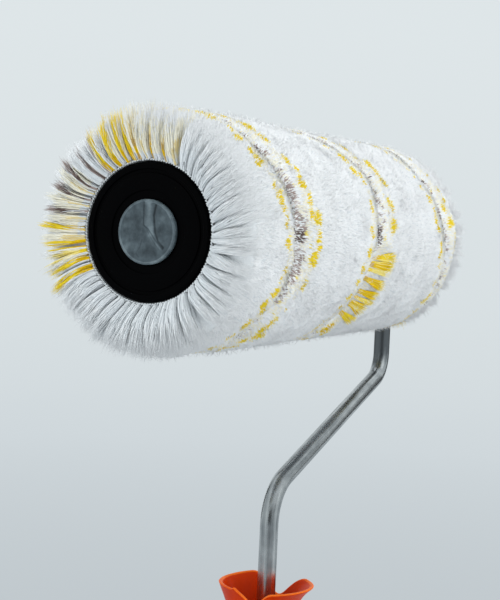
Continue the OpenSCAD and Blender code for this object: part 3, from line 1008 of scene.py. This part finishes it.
def rod():
    """The bent wire, swept in fine steps, with the pinched ears that key it in the handle."""
    low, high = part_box("frame_rod")
    tail = low.z / MM
    path = wire_line(low.x / MM, high.x / MM - WIRE_R, tail)
    tangent = np.gradient(path, axis=0)
    tangent /= np.linalg.norm(tangent, axis=1, keepdims=True)
    sideways = np.array([0.0, 1.0, 0.0])
    normal = np.cross(sideways, tangent)
    run = np.concatenate([[0], np.cumsum(np.linalg.norm(np.diff(path, axis=0), axis=1))])
    corner = np.linspace(0, 2 * math.pi, 48, endpoint=False)
    ears = np.where((path[:, 2] > tail + EARS_LOW) & (path[:, 2] < tail + EARS_HIGH), PINCH, 0.0)
    wide = np.where(run < TIP_CHAMFER, WIRE_R - TIP_CHAMFER, WIRE_R + ears)
    thin = np.where(run < TIP_CHAMFER, WIRE_R - TIP_CHAMFER, WIRE_R - ears)
    tube = (path[:, None] + normal[:, None] * (wide[:, None] * np.cos(corner)[None, :])[:, :, None]
            + sideways * (thin[:, None] * np.sin(corner)[None, :])[:, :, None])
    obj = grid_mesh("bent_rod", tube, [zinc_steel()], close_v=True, caps=("first", "last"), flip=True)
    space = np.broadcast_arrays(WIRE_R * np.cos(corner), WIRE_R * np.sin(corner), run[:, None])
    space = np.stack(space, axis=-1).reshape(-1, 3) * MM
    space = np.vstack([space, space[:1], space[-1:]]).astype(np.float32)
    attribute = obj.data.attributes.new("wire_space", "FLOAT_VECTOR", "POINT")
    attribute.data.foreach_set("vector", space.ravel())
    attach(obj, "frame")
    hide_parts("frame_rod")


# ---- handle

# Heights of the grip's sections, its outer radii there, its walls, its foot and the lip's rounding
INSERT_H = 46.0
BELLY_Z = 76.0
NECK_Z = RIM_Z - 22.0
TAIL_R = 14.4
BELLY_R = 16.2
NECK_R = 12.9
BELL_R = 21.3
BELL_WALL = 1.8
SHELL_WALL = 2.2
FOOT_Z = 3.0
LIP = 0.7
# Valleys of the bell's rim: middle in degrees, half width and depth
VALLEYS = [(3, 14.0, 8.7), (187, 9.0, 6.0)]


def eased(z, z0, z1, r0, r1):
    """Radius at height z, eased from r0 at z0 to r1 at z1."""
    return r0 + (r1 - r0) * (1 - np.cos(math.pi * (z - z0) / (z1 - z0))) / 2


def grip_radius(z, angle):
    """Outer radius of the grip; the bell is fuller on +Y and flares later on -Y."""
    power = 2.2 - 1.26 * np.sin(angle)
    rim = BELL_R - 0.4 * np.sin(angle)
    rise = np.clip((z - NECK_Z) / (RIM_Z - NECK_Z), 0, 1.2)
    bell = NECK_R + (rim - NECK_R) * rise**power
    lower = np.where(z <= BELLY_Z, eased(z, INSERT_H, BELLY_Z, TAIL_R, BELLY_R),
                     eased(z, BELLY_Z, NECK_Z, BELLY_R, NECK_R))
    radius = np.where(z <= INSERT_H, TAIL_R, lower)
    return np.where(z > NECK_Z, bell, radius)


def rim_height(angle):
    """Height of the bell's rim about the grip: two valleys and one small nib."""
    height = np.full(angle.shape, RIM_Z)
    for middle, half, depth in VALLEYS:
        away = angle - math.radians(middle)
        across = BELL_R * np.sin(away)
        inside = (np.abs(across) < half) & (np.cos(away) > 0)
        height -= np.where(inside, depth * (1 + np.cos(math.pi * across / half)) / 2, 0)
    nib = (np.degrees(angle) - 163 + 180) % 360 - 180
    height += 0.9 * np.exp(-((nib / 3.2) ** 2))
    return height - 0.25 + 0.25 * np.sin(3 * angle + 0.6)


def handle():
    """The grip as one closed turned shell: outside, rounded lip, inside and foot."""
    around = np.linspace(0, 2 * math.pi, 288, endpoint=False)
    top = rim_height(around)
    rows = []
    low = np.concatenate([np.linspace(FOOT_Z, FOOT_Z + 0.6, 3), np.linspace(FOOT_Z + 1.5, NECK_Z - 1, 56)])
    for z in low:
        radius = grip_radius(np.full(around.shape, z), around)
        chamfer = 0.35 * max(0.0, 1 - (z - FOOT_Z) / 0.6)
        rows.append((radius - chamfer, np.full(around.shape, z)))
    part = np.linspace(0, 1, 30)
    for t in part:
        z = NECK_Z + (top - LIP - NECK_Z) * t
        rows.append((grip_radius(z, around), z))
    edge = grip_radius(top - LIP, around)
    lip_rows = range(len(rows), len(rows) + 7)
    for turn in np.linspace(0.15, 0.85, 7) * math.pi:
        middle = edge + 0.25 - BELL_WALL / 2
        rows.append((middle + BELL_WALL / 2 * np.cos(turn), top - LIP + LIP * np.sin(turn)))
    for t in part[::-1]:
        z = NECK_Z + (top - LIP - NECK_Z) * t
        rows.append((grip_radius(z, around) - BELL_WALL, z))
    for z in np.linspace(NECK_Z - 3, INSERT_H, 16):
        rows.append((grip_radius(np.full(around.shape, z), around) - SHELL_WALL, np.full(around.shape, z)))
    rows.append((np.full(around.shape, TAIL_R - SHELL_WALL), np.full(around.shape, FOOT_Z)))
    radius, height = (np.array(column) for column in zip(*rows))
    turn = np.tile(around, (len(rows), 1))
    points = np.stack([radius * np.cos(turn), radius * np.sin(turn), height], axis=-1)
    obj = grid_mesh("grip_shell", points, [orange_plastic()], close_u=True, close_v=True, flip=True)
    # Painted highlight on the lip's rows, read by the grip's material
    bright = np.zeros(radius.shape, np.float32)
    bright[list(lip_rows)] = 0.45
    obj.data.attributes.new("lip", "FLOAT", "POINT").data.foreach_set("value", bright.ravel())
    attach(obj, "frame")
    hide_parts("handle_shell")


# ---- the CAD nodes that stay

def dress_kept_nodes():
    """Gives each CAD node that stays its own material."""
    steel = plain_steel("spring_steel", (0.2, 0.2, 0.21), (0.34, 0.34, 0.36), 0.38)
    ring = plain_steel("stop_ring_steel", (0.4, 0.41, 0.43), (0.58, 0.59, 0.61), 0.34)
    nylon = mottled("nylon", (0.7, 0.69, 0.63), (0.8, 0.79, 0.74), 140.0, 0.45, 0.1)
    dark = mottled("dark_plastic", (0.018, 0.018, 0.02), (0.034, 0.034, 0.037), 90.0, 0.48, 0.15)
    tube = mottled("core_plastic", (0.66, 0.68, 0.66), (0.76, 0.78, 0.76), 60.0, 0.4, 0.1)
    knit = mottled("backing_knit", (0.66, 0.64, 0.55), (0.78, 0.76, 0.68), 500.0, 0.9, 0.6, 1800.0)
    kept = {
        "stop_ring": ring, "far_thrust_washer": nylon, "near_thrust_washer": nylon, "push_nut": steel,
        "handle_core": dark, "pole_socket_insert": dark, "core_tube": tube, "fabric_backing": knit,
        "near_bush": nylon, "far_bush": nylon,
    }
    for name, material in kept.items():
        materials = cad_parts[name].data.materials
        materials.clear()
        materials.append(material)


# ---- stage, light and camera

def backdrop():
    """Paper that glows evenly by itself, a little less on the floor, and takes almost no shadow."""
    look = Look("backdrop", (0.004, 0.004, 0.004), 1.0, specular=0.0)
    place = look.parts(look.coords())
    rise = look.calc("ADD", look.length(place["X"], place["Y"]), look.times(place["Z"], 1.3))
    stops = [(0.05, (0.51, 0.56, 0.59)), (0.2, (0.62, 0.675, 0.705)), (0.42, (0.69, 0.745, 0.765)),
             (0.62, (0.73, 0.785, 0.805)), (1.0, (0.74, 0.795, 0.815))]
    look.feed("Emission Color", look.ramp(look.spread(rise, 0.0, 6.0, 0.0, 1.0), stops))
    look.shader.inputs["Emission Strength"].default_value = 1.0
    return look.material


def stage_bowl():
    """A pale floor that sweeps up on every side, so that any view has the same plain ground."""
    flat, wall, sweep = 1.7, 3.2, 1.1
    profile = [(r, 0.0) for r in np.linspace(0.01, flat, 12)]
    for t in np.linspace(0, math.pi / 2, 20)[1:]:
        profile.append((flat + sweep * math.sin(t), sweep - sweep * math.cos(t)))
    profile += [(flat + sweep, z) for z in np.linspace(sweep, wall, 6)[1:]]
    profile = np.array(profile) / MM
    around = np.linspace(0, 2 * math.pi, 96, endpoint=False)
    radius, turn = np.meshgrid(profile[:, 0], around, indexing="ij")
    height = np.repeat(profile[:, 1][:, None], len(around), axis=1) - 0.4
    points = np.stack([radius * np.cos(turn), radius * np.sin(turn), height], axis=-1)
    obj = grid_mesh("studio_sweep", points, [backdrop()], close_v=True, caps=("first",), flip=True)


def area_light(name, place, size, power, color, mirrored=False):
    """A soft panel aimed at the cover, out of the camera's sight; only a mirrored one shows in gloss."""
    target = Vector((0, 0, AXLE_Z * MM))
    data = bpy.data.lights.new(name, "AREA")
    data.shape = "RECTANGLE"
    data.size, data.size_y = size
    data.energy = power
    data.color = color
    obj = bpy.data.objects.new(name, data)
    obj.location = place
    obj.rotation_euler = (target - Vector(place)).to_track_quat("-Z", "Y").to_euler()
    obj.visible_camera = False
    obj.visible_glossy = mirrored
    bpy.context.scene.collection.objects.link(obj)


# Black cards round the stage, for reflections only: name, azimuth, elevation, half width, half height
DARK_CARDS = [
    ("behind_camera", 205.8, 0.0, 420, 420), ("right_card", -20.0, 0.0, 230, 420),
    ("left_card", 72.0, 5.0, 200, 420), ("top_card", 32.0, 44.0, 420, 130),
]
CARD_DISTANCE = 1150.0
CARD_CENTRE = np.array([0.0, 0.0, AXLE_Z - 80])


def dark_cards():
    """Black cards out of sight that give dark plastic and steel something dark to mirror."""
    cloth = Look("flag_cloth", (0.012, 0.012, 0.013), 1.0).material
    for name, azimuth, elevation, half_width, half_height in DARK_CARDS:
        turn = math.radians(azimuth)
        lift = math.radians(elevation)
        away = np.array([math.cos(turn) * math.cos(lift), math.sin(turn) * math.cos(lift), math.sin(lift)])
        sideways = np.array([-math.sin(turn), math.cos(turn), 0.0])
        upward = np.cross(away, sideways)
        part = np.linspace(-1, 1, 9)
        u, v = np.meshgrid(half_width * part, half_height * part, indexing="ij")
        bow = 0.00012 * (u**2 + v**2)
        points = (CARD_CENTRE + (CARD_DISTANCE - bow)[..., None] * away
                  + u[..., None] * sideways + v[..., None] * upward)
        card = grid_mesh(name, points, [cloth])
        card.visible_camera = False
        card.visible_diffuse = False
        card.visible_shadow = False


def lights():
    """A weak key from the camera's right, a broad top light, and fills for the ends and the underside."""
    area_light("key_top_right", (-0.25, -1.35, 1.1), (1.3, 1.0), 3.1, (1.0, 0.99, 0.975), True)
    area_light("top_soft", (0.0, 0.0, 1.7), (2.0, 2.0), 9.8, (0.99, 0.995, 1.0))
    area_light("end_fill", (-1.05, 0.75, 0.16), (1.2, 0.5), 5.6, (0.97, 0.985, 1.0))
    area_light("low_fill", (-0.35, -0.6, 0.05), (1.0, 0.3), 1.9, (0.98, 0.99, 1.0))
    area_light("far_fill", (1.4, -1.0, 0.5), (1.2, 0.8), 11.0, (1.0, 1.0, 1.0))
    area_light("back_rim", (1.3, 1.1, 0.9), (1.2, 1.2), 10.0, (1.0, 1.0, 1.0))
    world = bpy.data.worlds.new("studio")
    bpy.context.scene.world = world
    world.use_nodes = True
    background = world.node_tree.nodes["Background"]
    background.inputs["Color"].default_value = (0.8, 0.85, 0.88, 1)
    background.inputs["Strength"].default_value = 1.0


def camera():
    """Stands off the plugged end on the -Y side and looks along the cover, slightly down."""
    yaw, pitch, roll = math.radians(25.818), math.radians(3.193), math.radians(-2.552)
    place = Vector((-0.5302, -0.2425, (AXLE_Z + 4.4) * MM))
    aim = Matrix.Rotation(yaw - math.pi / 2, 4, "Z") @ Matrix.Rotation(math.pi / 2 - pitch, 4, "X")
    turn = aim @ Matrix.Rotation(-roll, 4, "Z")
    data = bpy.data.cameras.new("camera")
    data.lens = 81.63
    data.sensor_width = 36
    data.clip_start = 0.01
    data.clip_end = 50
    obj = bpy.data.objects.new("camera", data)
    bpy.context.scene.collection.objects.link(obj)
    obj.matrix_world = Matrix.Translation(place) @ turn
    bpy.context.scene.camera = obj


camera()
lights()
stage_bowl()
dark_cards()
bpy.context.scene.view_settings.view_transform = "Standard"

build_pile()
black = black_plastic()
end_cap(-1, black)
end_cap(1, black)
plug()
rod()
handle()
dress_kept_nodes()
